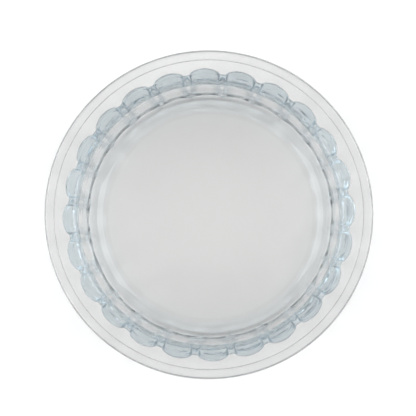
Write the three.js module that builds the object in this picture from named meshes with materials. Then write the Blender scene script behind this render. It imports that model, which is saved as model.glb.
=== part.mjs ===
// Glass ramekin: a round dish pressed in one piece, smooth inside and fluted outside, with a flat rim that
// overhangs the wall and a low foot ring under the floor. Millimetres, +Z up. The origin is the middle of the
// surface that the foot stands on, and the middle of one flute faces +X.

import * as THREE from "three";
import { mergeVertices } from "three/addons/utils/BufferGeometryUtils.js";

// Overall size
const RIM_DIAMETER = 110;
const HEIGHT = 45;

// Rim: flat on top, with a band along its edge that falls away
const RIM_THICKNESS = 5.5;
const RIM_OVERHANG = 6; // how far the rim stands out past the flutes
const RIM_BAND_WIDTH = 3.4;
const RIM_BAND_FALL = 0.6;
const RIM_TOP_ROUND = 1;
const RIM_UNDER_ROUND = 1.2;

// Wall: smooth inside, with its thickness measured at the bottom of a groove
const WALL_THICKNESS_AT_RIM = 3.8;
const WALL_THICKNESS_AT_FOOT = 2.25;
const INSIDE_DRAFT = 2.2; // degrees that the inside leans out, so that the plunger lifts clear

// Flutes: broad round faces with narrow grooves between them, which soften to scallops at the foot
const FLUTE_COUNT = 24;
const FLUTE_DEPTH_AT_RIM = 1.8;
const FLUTE_DEPTH_AT_FOOT = 1.15;
const FLUTE_CROWN = 1.25; // how far a flute's round face falls from its middle to the edge of the groove
const GROOVE_WIDTH = 3.4;
const GROOVE_SIDE_WIDTH = 0.9;
const SCALLOP_POWER = 2.6; // a scallop's fall grows with this power of the distance from its middle

// Inside
const FLOOR_THICKNESS = 5.4;
const MOUTH_ROUND = 2.75;
const FLOOR_ROUND = 7.5;

// Foot: a flat ring round a shallow recess, with a bevel from the ring up to the lower end of the wall
const FOOT_HEIGHT = 2.6;
const FOOT_SETBACK = 1.6;
const FOOT_RING_WIDTH = 5;
const RECESS_DEPTH = 0.4;
const RECESS_SLOPE_WIDTH = 2;
const WALL_END_ROUND = 1;

// Facets
const FLUTE_FACE_STEPS = 6;
const WIDE_ROUND_STEPS = 3;
const SMALL_ROUND_STEPS = 2;

// Radii worked out from the rim inwards
const rimRadius = RIM_DIAMETER / 2;
const rimUnderside = HEIGHT - RIM_THICKNESS;
const crestRadiusAtRim = rimRadius - RIM_OVERHANG;
const grooveRadiusAtRim = crestRadiusAtRim - FLUTE_DEPTH_AT_RIM;
const lean = Math.tan(THREE.MathUtils.degToRad(INSIDE_DRAFT));

/** Radius of the smooth inner wall at a height. */
function innerRadius(height) {
  return grooveRadiusAtRim - WALL_THICKNESS_AT_RIM + (height - rimUnderside) * lean;
}

const grooveRadiusAtFoot = innerRadius(FOOT_HEIGHT) + WALL_THICKNESS_AT_FOOT;
const footRadius = grooveRadiusAtFoot - FOOT_SETBACK;
const recessRadius = footRadius - FOOT_RING_WIDTH;

// Widths along the circle of the flutes' middles at the rim
const flutePitch = (2 * Math.PI) / FLUTE_COUNT;
const halfPitch = (flutePitch / 2) * crestRadiusAtRim;
const halfFace = halfPitch - GROOVE_WIDTH / 2;
const faceRadius = (halfFace ** 2 + FLUTE_CROWN ** 2) / (2 * FLUTE_CROWN);

/** Points of a round that takes the place of the corner between two straight edges. */
function roundedCorner(before, corner, after, radius, steps) {
  const toBefore = before.clone().sub(corner);
  const toAfter = after.clone().sub(corner);
  const halfAngle = Math.abs(toBefore.angleTo(toAfter)) / 2;
  const shorterEdge = Math.min(toBefore.length(), toAfter.length());
  const tangentLength = Math.min(radius / Math.tan(halfAngle), shorterEdge / 2);
  const trueRadius = tangentLength * Math.tan(halfAngle);
  const start = corner.clone().addScaledVector(toBefore.normalize(), tangentLength);
  const end = corner.clone().addScaledVector(toAfter.normalize(), tangentLength);
  const middle = toBefore.clone().add(toAfter).normalize();
  const centre = corner.clone().addScaledVector(middle, trueRadius / Math.sin(halfAngle));
  const spoke = start.clone().sub(centre);
  const side = Math.sign(spoke.cross(end.clone().sub(centre)));
  const sweep = side * (Math.PI - 2 * halfAngle);
  return Array.from({ length: steps + 1 }, (_, step) =>
    start.clone().rotateAround(centre, (sweep * step) / steps));
}

/** Section of the dish through a groove (rise 0) or through the middle of a flute (rise 1), from the middle
 * of the underside out round the foot, up the wall, over the rim and down the inside to the floor. */
function section(rise) {
  const wallAtFoot = grooveRadiusAtFoot + rise * FLUTE_DEPTH_AT_FOOT;
  const wallAtRim = grooveRadiusAtRim + rise * FLUTE_DEPTH_AT_RIM;
  const corners = [
    { r: 0, z: RECESS_DEPTH },
    { r: recessRadius - RECESS_SLOPE_WIDTH, z: RECESS_DEPTH },
    { r: recessRadius, z: 0 },
    { r: footRadius, z: 0 },
    { r: wallAtFoot, z: FOOT_HEIGHT, round: WALL_END_ROUND, steps: SMALL_ROUND_STEPS },
    { r: wallAtRim, z: rimUnderside },
    { r: rimRadius, z: rimUnderside, round: RIM_UNDER_ROUND, steps: SMALL_ROUND_STEPS },
    { r: rimRadius, z: HEIGHT - RIM_BAND_FALL, round: RIM_TOP_ROUND, steps: SMALL_ROUND_STEPS },
    { r: rimRadius - RIM_BAND_WIDTH, z: HEIGHT },
    { r: innerRadius(HEIGHT), z: HEIGHT, round: MOUTH_ROUND, steps: WIDE_ROUND_STEPS },
    { r: innerRadius(FLOOR_THICKNESS), z: FLOOR_THICKNESS, round: FLOOR_ROUND, steps: WIDE_ROUND_STEPS },
    { r: 0, z: FLOOR_THICKNESS },
  ];
  const points = corners.map(({ r, z }) => new THREE.Vector2(r, z));
  return corners.flatMap(({ round, steps }, i) =>
    round ? roundedCorner(points[i - 1], points[i], points[i + 1], round, steps) : [points[i]]);
}

/** Height of the fluted face under the rim at a distance from the middle of a flute: 1 in the middle, falling
 * along a circular arc by the crown to the groove's edge, and then straight to 0 on the groove's floor. */
function riseAtRim(fromMiddle) {
  const onFace = Math.min(fromMiddle, halfFace);
  const fall = faceRadius - Math.sqrt(faceRadius ** 2 - onFace ** 2);
  const downSide = Math.min(Math.max(0, fromMiddle - halfFace) / GROOVE_SIDE_WIDTH, 1);
  return (1 - fall / FLUTE_DEPTH_AT_RIM) * (1 - downSide);
}

/** Height of the fluted face at the foot: a scallop, 1 in the middle of a flute and 0 half a pitch on. */
function riseAtFoot(fromMiddle) {
  return 1 - (fromMiddle / halfPitch) ** SCALLOP_POWER;
}

/** Distances from a flute's middle to its columns: even steps over the face and the groove's two sides. */
function fluteColumns() {
  const groove = halfFace + GROOVE_SIDE_WIDTH;
  const face = Array.from({ length: FLUTE_FACE_STEPS + 1 }, (_, step) =>
    halfFace * ((2 * step) / FLUTE_FACE_STEPS - 1));
  return [-groove, ...face, groove];
}

/** The whole dish: the groove's section turned about the axis, with its wall drawn out to the flutes. */
function glassBody() {
  const groove = section(0);
  const crest = section(1);
  const columnsAcross = fluteColumns();
  const columns = FLUTE_COUNT * columnsAcross.length;
  const geometry = new THREE.LatheGeometry(groove, columns);
  const position = geometry.attributes.position;
  for (let column = 0; column <= columns; column++) {
    const across = columnsAcross[column % columnsAcross.length];
    const flute = Math.floor(column / columnsAcross.length);
    const turn = flute * flutePitch + across / crestRadiusAtRim;
    groove.forEach((point, row) => {
      const climb = (point.y - FOOT_HEIGHT) / (rimUnderside - FOOT_HEIGHT);
      const share = THREE.MathUtils.clamp(climb, 0, 1);
      const rise = THREE.MathUtils.lerp(riseAtFoot(Math.abs(across)), riseAtRim(Math.abs(across)), share);
      const { x: r, y: z } = point.clone().lerp(crest[row], rise);
      position.setXYZ(column * groove.length + row, r * Math.sin(turn), z, r * Math.cos(turn));
    });
  }
  geometry.rotateX(Math.PI / 2);
  geometry.deleteAttribute("normal");
  geometry.deleteAttribute("uv");
  const merged = mergeVertices(geometry);
  merged.computeVertexNormals();
  return merged;
}

const clearGlass = new THREE.MeshStandardMaterial({
  color: 0xdce6e8,
  roughness: 0.03,
  metalness: 0,
  transparent: true,
  opacity: 0.35,
});

const body = new THREE.Mesh(glassBody(), clearGlass);
body.name = "glass_body";

const ramekin = new THREE.Group();
ramekin.add(body);

export default ramekin;
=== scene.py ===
"""Glass ramekin seen from above: one dish of clear pressed glass on a pale floor under soft light."""

import math

import bpy
import numpy as np
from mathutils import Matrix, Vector


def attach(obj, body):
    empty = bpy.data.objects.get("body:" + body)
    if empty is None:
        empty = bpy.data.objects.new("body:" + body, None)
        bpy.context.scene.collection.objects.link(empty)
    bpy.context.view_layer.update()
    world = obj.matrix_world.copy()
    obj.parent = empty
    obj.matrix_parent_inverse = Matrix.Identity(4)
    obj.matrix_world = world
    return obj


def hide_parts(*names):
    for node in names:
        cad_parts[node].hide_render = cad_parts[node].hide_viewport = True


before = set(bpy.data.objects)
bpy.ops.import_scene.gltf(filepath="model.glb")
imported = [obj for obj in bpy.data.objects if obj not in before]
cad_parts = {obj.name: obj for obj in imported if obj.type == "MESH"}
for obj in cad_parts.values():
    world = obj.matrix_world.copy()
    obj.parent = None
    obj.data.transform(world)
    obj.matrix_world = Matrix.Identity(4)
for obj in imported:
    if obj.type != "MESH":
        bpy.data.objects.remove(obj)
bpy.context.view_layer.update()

# Glass body: the whole dish, pressed in one stroke from a gob of clear glass. The plunger leaves a smooth
# inside, and the mould leaves the flutes outside, the flat rim and the low foot ring.
MM = 0.001
RIM_RADIUS = 55.0
HEIGHT = 45.0
RIM_THICKNESS = 5.5
RIM_BAND_WIDTH = 3.4
RIM_BAND_FALL = 0.6
RIM_STEP_HEIGHT = 0.3
RIM_STEP_WIDTH = 0.25
RIM_STEP_ROUND = 0.15
RIM_TOP_ROUND = 1.0
RIM_UNDER_ROUND = 1.2
MOUTH_RADIUS = 43.6
MOUTH_ROUND = 2.75
INSIDE_FOOT_RADIUS = 42.1
INSIDE_FOOT_ROUND = 7.5
FLOOR_THICKNESS = 5.4

FLUTES = 24
CREST_AT_RIM = 49.0
GROOVE_AT_RIM = 47.2
CREST_AT_FOOT = 45.4
GROOVE_AT_FOOT = 44.25
FLUTE_CROWN = 1.3
SCALLOP_POWER = 2.6
FLUTE_HALF_FACE = math.radians(5.9)
GROOVE_SIDE_MIDDLE = math.radians(6.0)
GROOVE_SIDE_SOFTNESS = math.radians(0.18)
GROOVE_SIDE_START = math.radians(4.8)
GROOVE_SIDE_END = math.radians(7.2)
FACE_COLUMNS = 8
SIDE_COLUMNS = 12
RIM_JOIN_ROUND = 0.25
WALL_END_ROUND = 1.0

FOOT_HEIGHT = 2.6
FOOT_RADIUS = 42.65
FOOT_ROUND = 0.5
FOOT_RING_WIDTH = 5.0
RECESS_DEPTH = 0.4
RECESS_SLOPE_WIDTH = 2.0
RECESS_ROUND = 3.0


def rounded_corner(before, corner, after, radius, steps):
    """Points of a circular arc that touches both edges of a corner, from the first edge to the second."""
    to_before = (before - corner) / np.linalg.norm(before - corner)
    to_after = (after - corner) / np.linalg.norm(after - corner)
    half_angle = math.acos(to_before @ to_after) / 2
    middle = (to_before + to_after) / np.linalg.norm(to_before + to_after)
    centre = corner + middle * radius / math.sin(half_angle)
    spoke = corner + to_before * radius / math.tan(half_angle) - centre
    side = math.copysign(1, to_before[1] * to_after[0] - to_before[0] * to_after[1])
    turn = side * np.linspace(0, math.pi - 2 * half_angle, steps)
    across = np.array([-spoke[1], spoke[0]])
    return centre + np.cos(turn)[:, None] * spoke + np.sin(turn)[:, None] * across


def section(rise):
    """Outline of the dish (radius, height) through a groove at rise 0 or a flute's middle at rise 1. It runs
    from the floor's middle up the inside, over the rim, down the wall and under the foot to the middle of
    the underside. Each corner gives its place, its round, the points on the round and on the edge before."""
    wall_at_rim = GROOVE_AT_RIM + rise * (CREST_AT_RIM - GROOVE_AT_RIM)
    wall_at_foot = GROOVE_AT_FOOT + rise * (CREST_AT_FOOT - GROOVE_AT_FOOT)
    rim_underside = HEIGHT - RIM_THICKNESS
    recess_radius = FOOT_RADIUS - FOOT_RING_WIDTH
    corners = [
        (INSIDE_FOOT_RADIUS, FLOOR_THICKNESS, INSIDE_FOOT_ROUND, 12, 3),
        (MOUTH_RADIUS, HEIGHT, MOUTH_ROUND, 11, 3),
        (RIM_RADIUS - RIM_BAND_WIDTH, HEIGHT, RIM_STEP_ROUND, 4, 2),
        (RIM_RADIUS - RIM_BAND_WIDTH + RIM_STEP_WIDTH, HEIGHT - RIM_STEP_HEIGHT, RIM_STEP_ROUND, 4, 0),
        (RIM_RADIUS, HEIGHT - RIM_BAND_FALL, RIM_TOP_ROUND, 9, 1),
        (RIM_RADIUS, rim_underside, RIM_UNDER_ROUND, 9, 1),
        (wall_at_rim, rim_underside, RIM_JOIN_ROUND, 7, 1),
        (wall_at_foot, FOOT_HEIGHT, WALL_END_ROUND, 6, 12),
        (FOOT_RADIUS, 0.0, FOOT_ROUND, 5, 2),
        (recess_radius, 0.0, FOOT_ROUND, 3, 1),
        (recess_radius - RECESS_SLOPE_WIDTH, RECESS_DEPTH, RECESS_ROUND, 3, 0),
    ]
    floor_middle = np.array([0.0, FLOOR_THICKNESS])
    underside_middle = np.array([0.0, RECESS_DEPTH])
    places = [floor_middle] + [np.array(corner[:2]) for corner in corners] + [underside_middle]
    outline = [floor_middle[None]]
    for i, (_, _, radius, round_steps, edge_steps) in enumerate(corners, start=1):
        arc = rounded_corner(places[i - 1], places[i], places[i + 1], radius, round_steps)
        share = np.linspace(0, 1, edge_steps + 2)[1:-1, None]
        outline += [outline[-1][-1] * (1 - share) + arc[0] * share, arc]
    return np.concatenate(outline + [underside_middle[None]])


def flute_face(angle, depth):
    """Height of a flute at an angle from its middle and a depth under the rim: 1 in the middle, falling as a
    circular arc by the crown to the face's edge, times a logistic step down the groove's steep side to 0.
    The side runs out into the rim's underside along a quarter circle, which narrows the groove there."""
    half_width = FLUTE_HALF_FACE * CREST_AT_RIM
    arc_radius = (half_width**2 + FLUTE_CROWN**2) / (2 * FLUTE_CROWN)
    fall = arc_radius - np.sqrt(arc_radius**2 - (angle * CREST_AT_RIM) ** 2)
    face = 1 - fall / (CREST_AT_RIM - GROOVE_AT_RIM)
    up = 1 - np.clip(depth / RIM_JOIN_ROUND, 0, 1)
    run_out = RIM_JOIN_ROUND * (1 - np.sqrt(1 - up**2)) / CREST_AT_RIM
    return face / (1 + np.exp((angle - GROOVE_SIDE_MIDDLE - run_out) / GROOVE_SIDE_SOFTNESS))


half_pitch = math.pi / FLUTES
half_flute = np.concatenate([
    np.linspace(0, GROOVE_SIDE_START, FACE_COLUMNS + 1)[:-1],
    np.linspace(GROOVE_SIDE_START, GROOVE_SIDE_END, SIDE_COLUMNS),
    [half_pitch],
])
across = np.concatenate([-half_flute[:0:-1], half_flute[:-1]])
turn = (np.arange(FLUTES)[:, None] * 2 * half_pitch + across).ravel()
from_middle = np.tile(np.abs(across), FLUTES)

groove, crest = section(0.0), section(1.0)
climb = np.clip((groove[:, 1] - FOOT_HEIGHT) / (HEIGHT - RIM_THICKNESS - FOOT_HEIGHT), 0, 1)[:, None]
wave = 1 - (from_middle / half_pitch) ** SCALLOP_POWER
depth = (HEIGHT - RIM_THICKNESS - groove[:, 1])[:, None]
rise = climb * flute_face(from_middle, depth) + (1 - climb) * wave
outline = groove[:, None] + rise[..., None] * (crest - groove)[:, None]
grid = np.stack([outline[..., 0] * np.cos(turn), outline[..., 0] * np.sin(turn), outline[..., 1]], -1) * MM

rows, columns = grid.shape[:2]
points = np.concatenate([grid[1:-1].reshape(-1, 3), grid[0, :1], grid[-1, :1]])
row, column = np.meshgrid(np.arange(rows - 3), np.arange(columns), indexing="ij")
beside = (column + 1) % columns
quads = np.stack([
    row * columns + column,
    (row + 1) * columns + column,
    (row + 1) * columns + beside,
    row * columns + beside,
], -1).reshape(-1, 4)
ring = np.arange(columns)
last_ring = (rows - 3) * columns + ring
floor_fan = np.stack([np.full(columns, len(points) - 2), ring, np.roll(ring, -1)], -1)
under_fan = np.stack([np.full(columns, len(points) - 1), np.roll(last_ring, -1), last_ring], -1)
mesh = bpy.data.meshes.new("glass_dish")
mesh.from_pydata(points.tolist(), [], quads.tolist() + floor_fan.tolist() + under_fan.tolist())
mesh.polygons.foreach_set("use_smooth", np.ones(len(mesh.polygons), dtype=bool))
mesh.update()
dish = bpy.data.objects.new("glass_dish", mesh)
bpy.context.scene.collection.objects.link(dish)


def linear(hex_colour):
    """Linear red, green, blue and a full alpha from an sRGB hex colour, by the sRGB transfer curve."""
    shares = [int(hex_colour[i:i + 2], 16) / 255 for i in (1, 3, 5)]
    return [s / 12.92 if s <= 0.04045 else ((s + 0.055) / 1.055) ** 2.4 for s in shares] + [1.0]


def add_node(tree, kind, values=None, links=None, **settings):
    """New node of a kind, with its settings, the values of its sockets and the outputs that feed them."""
    node = tree.nodes.new(kind)
    for name, setting in settings.items():
        setattr(node, name, setting)
    for socket, value in (values or {}).items():
        node.inputs[socket].default_value = value
    for socket, output in (links or {}).items():
        tree.links.new(output, node.inputs[socket])
    return node


# Clear pressed glass: the fire polish leaves a bright skin, the cool plunger leaves faint wrinkles that lie
# level round the wall, and long ways through the glass take on a faint blue-green. The pale grey surface
# tint is
# painted shade: it darkens all that is seen through the glass, standing in for the shade on the floor under
# the dish.
glass = bpy.data.materials.new("clear pressed glass")
glass.use_nodes = True
tree = glass.node_tree
tree.nodes.clear()
WRINKLE_LENGTH = 20.0
WRINKLE_HEIGHT = 4.0
WRINKLE_DEPTH = 0.12
# Painted shade: a pale grey on the glass's surface that stands in for the shade on the floor under the dish.
UNDER_DISH_SHADE_TINT = "#e4e3e2"
DEPTH_TINT = "#a3c9d9"
DEPTH_DENSITY = 7.0
GLASS_IOR = 1.5
place = add_node(tree, "ShaderNodeTexCoord")
lying = add_node(
    tree, "ShaderNodeMapping",
    {"Scale": (1 / (WRINKLE_LENGTH * MM), 1 / (WRINKLE_LENGTH * MM), 1 / (WRINKLE_HEIGHT * MM))},
    {"Vector": place.outputs["Object"]})
wrinkles = add_node(
    tree, "ShaderNodeTexNoise", {"Scale": 1.0, "Detail": 1.0}, {"Vector": lying.outputs["Vector"]})
skin = add_node(
    tree, "ShaderNodeBump", {"Strength": 1.0, "Distance": WRINKLE_DEPTH * MM},
    {"Height": wrinkles.outputs["Fac"]})
clear = add_node(
    tree, "ShaderNodeBsdfPrincipled",
    {"Base Color": linear(UNDER_DISH_SHADE_TINT), "Roughness": 0.0, "IOR": GLASS_IOR, "Transmission Weight": 1.0},
    {"Normal": skin.outputs["Normal"]})
tint = add_node(
    tree, "ShaderNodeVolumeAbsorption", {"Color": linear(DEPTH_TINT), "Density": DEPTH_DENSITY})
add_node(
    tree, "ShaderNodeOutputMaterial",
    links={"Surface": clear.outputs["BSDF"], "Volume": tint.outputs["Volume"]})
mesh.materials.append(glass)

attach(dish, "root")
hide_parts("glass_body")

# Floor: a plain pale sheet, matt, that the dish stands on. A hair's gap under the foot ring keeps the glass
# and the sheet apart.
FLOOR_HALF_WIDTH = 0.2
FLOOR_GAP = 0.2 * MM
FLOOR_COLOUR = "#f5f5f5"
FLOOR_ROUGHNESS = 0.9
sheet = bpy.data.meshes.new("floor")
side, level = FLOOR_HALF_WIDTH, -FLOOR_GAP
sheet.from_pydata(
    [(-side, -side, level), (side, -side, level), (side, side, level), (-side, side, level)],
    [], [(0, 1, 2, 3)])
floor = bpy.data.objects.new("floor", sheet)
bpy.context.scene.collection.objects.link(floor)
paper = bpy.data.materials.new("pale matt floor")
paper.use_nodes = True
matt = paper.node_tree.nodes["Principled BSDF"]
matt.inputs["Base Color"].default_value = linear(FLOOR_COLOUR)
matt.inputs["Roughness"].default_value = FLOOR_ROUGHNESS
matt.inputs["Specular IOR Level"].default_value = 0.0
sheet.materials.append(paper)

# Light: a soft dome, pale overhead and down by the floor with a dark belt between, which draws the edges of
# the glass. A long soft box stands on each side, and a weaker one behind.
scene = bpy.context.scene
studio = bpy.data.worlds.new("studio")
studio.use_nodes = True
scene.world = studio
tree = studio.node_tree
way = add_node(tree, "ShaderNodeTexCoord")
height = add_node(tree, "ShaderNodeSeparateXYZ", links={"Vector": way.outputs["Generated"]})
DOME_EDGE = 0.55
DOME_FULL = 0.95
DOME_LIGHT = 1.7
BELT = "#12252e"
GROUND = "#e4e8ea"
GROUND_TOP = 0.04
BELT_START = 0.08
dome = add_node(
    tree, "ShaderNodeMapRange", {"From Min": DOME_EDGE, "From Max": DOME_FULL},
    {"Value": height.outputs["Z"]})
sky = add_node(
    tree, "ShaderNodeMix", {"A": linear(BELT), "B": [DOME_LIGHT] * 3 + [1.0]},
    {"Factor": dome.outputs["Result"]}, data_type="RGBA")
belt = add_node(
    tree, "ShaderNodeMapRange", {"From Min": GROUND_TOP, "From Max": BELT_START},
    {"Value": height.outputs["Z"]})
room = add_node(
    tree, "ShaderNodeMix", {"A": linear(GROUND)},
    {"Factor": belt.outputs["Result"], "B": sky.outputs["Result"]}, data_type="RGBA")
tree.links.new(room.outputs["Result"], tree.nodes["Background"].inputs["Color"])

BOX_LENGTH = 0.9
BOX_WIDTH = 0.6
BOX_DISTANCE = 1.0
BOX_ELEVATION = math.radians(44)
SIDE_BOX_POWER = 4.3
FAR_BOX_POWER = 0.3


def soft_box(name, azimuth, power):
    """Long area light in a direction round the dish, at the boxes' height and distance, that faces it."""
    light = bpy.data.lights.new(name, "AREA")
    light.shape = "RECTANGLE"
    light.size, light.size_y = BOX_LENGTH, BOX_WIDTH
    light.energy = power
    box = bpy.data.objects.new(name, light)
    flat = math.cos(BOX_ELEVATION)
    way_out = Vector((flat * math.cos(azimuth), flat * math.sin(azimuth), math.sin(BOX_ELEVATION)))
    box.location = way_out * BOX_DISTANCE
    box.rotation_mode = "QUATERNION"
    box.rotation_quaternion = (-way_out).to_track_quat("-Z", "Y")
    scene.collection.objects.link(box)


soft_box("left soft box", math.radians(180), SIDE_BOX_POWER)
soft_box("right soft box", math.radians(10), SIDE_BOX_POWER)
soft_box("far soft box", math.radians(90), FAR_BOX_POWER)
GLASS_BOUNCES = 48
FLOOR_BOUNCES = 8
scene.cycles.max_bounces = GLASS_BOUNCES
scene.cycles.glossy_bounces = GLASS_BOUNCES
scene.cycles.transmission_bounces = GLASS_BOUNCES
scene.cycles.diffuse_bounces = FLOOR_BOUNCES
scene.cycles.blur_glossy = 0.0
scene.view_settings.view_transform = "Standard"

# Camera: almost straight above the dish, leaning a little to the near side and to the right, with a long
# lens. The rim takes up four fifths of the frame.
FRAME_WIDTH = 416
RIM_SHARE_OF_FRAME = 329.4 / FRAME_WIDTH
SHIFT_RIGHT = -0.7 / FRAME_WIDTH
SHIFT_UP = 6.6 / FRAME_WIDTH
SENSOR_WIDTH = 36
DISTANCE = 1.2
LEAN_NEAR = math.radians(0.85)
LEAN_RIGHT = math.radians(0.8)
ROLL = math.radians(-1.8)
lens = bpy.data.cameras.new("camera")
lens.sensor_width = SENSOR_WIDTH
lens.lens = SENSOR_WIDTH * DISTANCE * RIM_SHARE_OF_FRAME / (2 * RIM_RADIUS * MM)
lens.shift_x = SHIFT_RIGHT
lens.shift_y = SHIFT_UP
camera = bpy.data.objects.new("camera", lens)
target = Vector((0, 0, HEIGHT * MM))
camera.rotation_mode = "ZXY"
camera.rotation_euler = (LEAN_NEAR, LEAN_RIGHT, ROLL)
camera.location = target + camera.rotation_euler.to_matrix() @ Vector((0, 0, DISTANCE))
scene.collection.objects.link(camera)
scene.camera = camera
